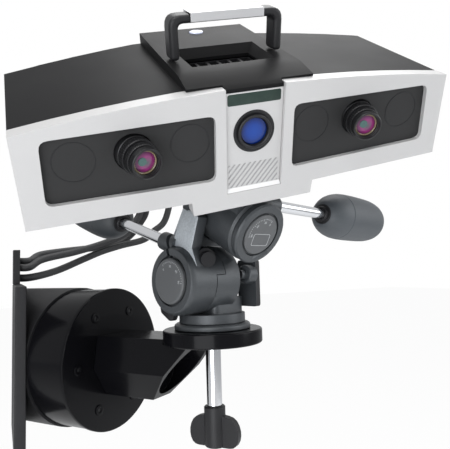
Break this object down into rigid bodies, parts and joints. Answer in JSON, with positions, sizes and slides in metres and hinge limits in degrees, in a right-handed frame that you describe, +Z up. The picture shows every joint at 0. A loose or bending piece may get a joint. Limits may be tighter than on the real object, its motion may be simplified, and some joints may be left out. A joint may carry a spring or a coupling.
{
  "type": "three-d scanner",
  "caption": "Twin-camera structured-light scanner with a carrying handle, on a three-way pan and tilt head held out from a column by a bolted drum and arm.",
  "frame": {"origin": "centre of the column pad's flat back face at the height of the drum's axis", "axes": "+Z up, the scanner faces -Y and down, -X is the outward normal of the column pad's back face"},
  "size_m": [0.3951, 0.425, 0.422],
  "materials": {
    "black_casting": "fine textured matte paint",
    "black_gloss": "gloss black anodised and polished",
    "head_grey": "satin metallic grey paint on die casting",
    "dial_face": "satin grey moulding",
    "black_plastic": "fine grained black moulding",
    "black_metal": "satin black anodising",
    "chrome": "polished chrome plate",
    "grip_rubber": "soft blue-grey rubber",
    "silver_plastic": "silver painted moulding, satin",
    "window_grey": "dark grey matte sheet",
    "display_glass": "smoked clear window",
    "ring_grey": "dark grey satin ring",
    "blue_glass": "blue coated projector glass",
    "lens_glass": "coated lens glass, magenta and green reflections",
    "cover_grey": "dark grey satin moulding",
    "button_light": "glossy translucent white",
    "bench_aluminium": "milled aluminium",
    "board_green": "green circuit board",
    "cable_rubber": "matte black cable jacket"
  },
  "bodies": {
    "stand": {"column_pad": "black_casting", "rear_casting": "black_casting", "drum_band": "black_gloss", "drum_front_plate": "black_gloss", "support_arm": "black_gloss", "base_plate": "black_gloss", "fixing_screw": "chrome", "pan_base_ring": "head_grey", "cable_clamp": "black_plastic", "cable_data_a": "cable_rubber", "cable_data_b": "cable_rubber", "cable_power": "cable_rubber"},
    "wing_knob": {"wing_knob": "black_plastic"},
    "pan_head": {"pan_housing": "head_grey", "front_tilt_dial": "dial_face"},
    "pan_lock": {"pan_lock_lever": "black_plastic"},
    "tilt_frame": {"front_tilt_frame": "head_grey", "tilt_stud": "black_plastic", "side_tilt_dial": "dial_face"},
    "front_handle": {"front_handle_rod": "chrome", "front_handle_grip": "grip_rubber"},
    "scanner": {"side_tilt_housing": "head_grey", "quick_release_plate": "black_plastic", "front_fascia": "silver_plastic", "window_panel_left": "window_grey", "window_panel_right": "window_grey", "centre_panel": "silver_plastic", "display_window": "display_glass", "projector_ring": "ring_grey", "projector_glass": "blue_glass", "projector_engine": "black_plastic", "lens_barrel_left": "black_metal", "lens_barrel_right": "black_metal", "lens_glass_left": "lens_glass", "lens_glass_right": "lens_glass", "camera_body_left": "black_metal", "camera_body_right": "black_metal", "top_cover": "cover_grey", "rear_cover": "cover_grey", "bottom_tray": "cover_grey", "raised_block": "cover_grey", "vent_grille": "black_plastic", "fan_housing": "black_plastic", "carry_handle": "black_plastic", "handle_sleeve": "silver_plastic", "optical_bench": "bench_aluminium", "main_board": "board_green", "cable_gland_1": "cable_rubber", "cable_gland_2": "cable_rubber", "cable_gland_3": "cable_rubber"},
    "side_handle": {"side_handle_rod": "chrome", "side_handle_grip": "grip_rubber"},
    "release_lever": {"release_lever": "black_plastic"},
    "power_button": {"power_button": "button_light"},
    "fan_rotor": {"fan_rotor": "black_plastic"},
    "focus_left": {"focus_ring_left": "black_metal"},
    "focus_right": {"focus_ring_right": "black_metal"},
    "iris_left": {"iris_ring_left": "black_metal"},
    "iris_right": {"iris_ring_right": "black_metal"}
  },
  "joints": [
    {"name": "pan", "type": "hinge", "parent": "stand", "child": "pan_head", "pos_m": [0.16972, -0.15703, 0.044], "axis": [0, 0, 1], "range_deg": [-45, 12], "deforming": ["cable_data_a", "cable_data_b", "cable_power"]},
    {"name": "front_tilt", "type": "hinge", "parent": "pan_head", "child": "tilt_frame", "pos_m": [0.16972, -0.15703, 0.0811], "axis": [0.9421, 0.3355, 0], "range_deg": [-20, 0], "deforming": ["cable_data_a", "cable_data_b", "cable_power"]},
    {"name": "side_tilt", "type": "hinge", "parent": "tilt_frame", "child": "scanner", "pos_m": [0.18062, -0.18765, 0.13762], "axis": [-0.2908, 0.8167, 0.4985], "range_deg": [-10, 40], "deforming": ["cable_data_a", "cable_data_b", "cable_power"]},
    {"name": "wing_turn", "type": "hinge", "parent": "stand", "child": "wing_knob", "pos_m": [0.16972, -0.15703, -0.0359], "axis": [0, 0, 1], "continuous": true},
    {"name": "pan_lock_turn", "type": "hinge", "parent": "pan_head", "child": "pan_lock", "pos_m": [0.18956, -0.17757, 0.0847], "axis": [0.9421, 0.3355, 0], "range_deg": [-40, 40]},
    {"name": "front_handle_turn", "type": "hinge", "parent": "tilt_frame", "child": "front_handle", "pos_m": [0.12676, -0.14966, 0.11818], "axis": [-0.3192, 0.8965, 0.3074], "range_deg": [-90, 90]},
    {"name": "side_handle_turn", "type": "hinge", "parent": "scanner", "child": "side_handle", "pos_m": [0.21308, -0.20728, 0.14598], "axis": [0.9331, 0.3572, -0.0408], "range_deg": [-90, 90]},
    {"name": "release_turn", "type": "hinge", "parent": "scanner", "child": "release_lever", "pos_m": [0.13873, -0.17912, 0.17263], "axis": [-0.2466, -0.5674, 0.7857], "range_deg": [0, 45]},
    {"name": "power_press", "type": "slide", "parent": "scanner", "child": "power_button", "axis": [0.2466, 0.5674, -0.7857], "range_m": [0, 0.0012], "stiffness_N_per_m": 400},
    {"name": "fan_spin", "type": "hinge", "parent": "scanner", "child": "fan_rotor", "pos_m": [0.15041, -0.23776, 0.248], "axis": [-0.2466, -0.5674, 0.7857], "continuous": true},
    {"name": "focus_left_turn", "type": "hinge", "parent": "scanner", "child": "focus_left", "pos_m": [0.07086, -0.2675, 0.16973], "axis": [-0.2058, 0.8229, 0.5296], "range_deg": [-120, 120]},
    {"name": "focus_right_turn", "type": "hinge", "parent": "scanner", "child": "focus_right", "pos_m": [0.2422, -0.29312, 0.205], "axis": [0.2071, 0.7611, 0.6146], "range_deg": [-120, 120]},
    {"name": "iris_left_turn", "type": "hinge", "parent": "scanner", "child": "iris_left", "pos_m": [0.07291, -0.27573, 0.16443], "axis": [-0.2058, 0.8229, 0.5296], "range_deg": [-40, 40]},
    {"name": "iris_right_turn", "type": "hinge", "parent": "scanner", "child": "iris_right", "pos_m": [0.24013, -0.30074, 0.19886], "axis": [0.2071, 0.7611, 0.6146], "range_deg": [-40, 40]}
  ]
}
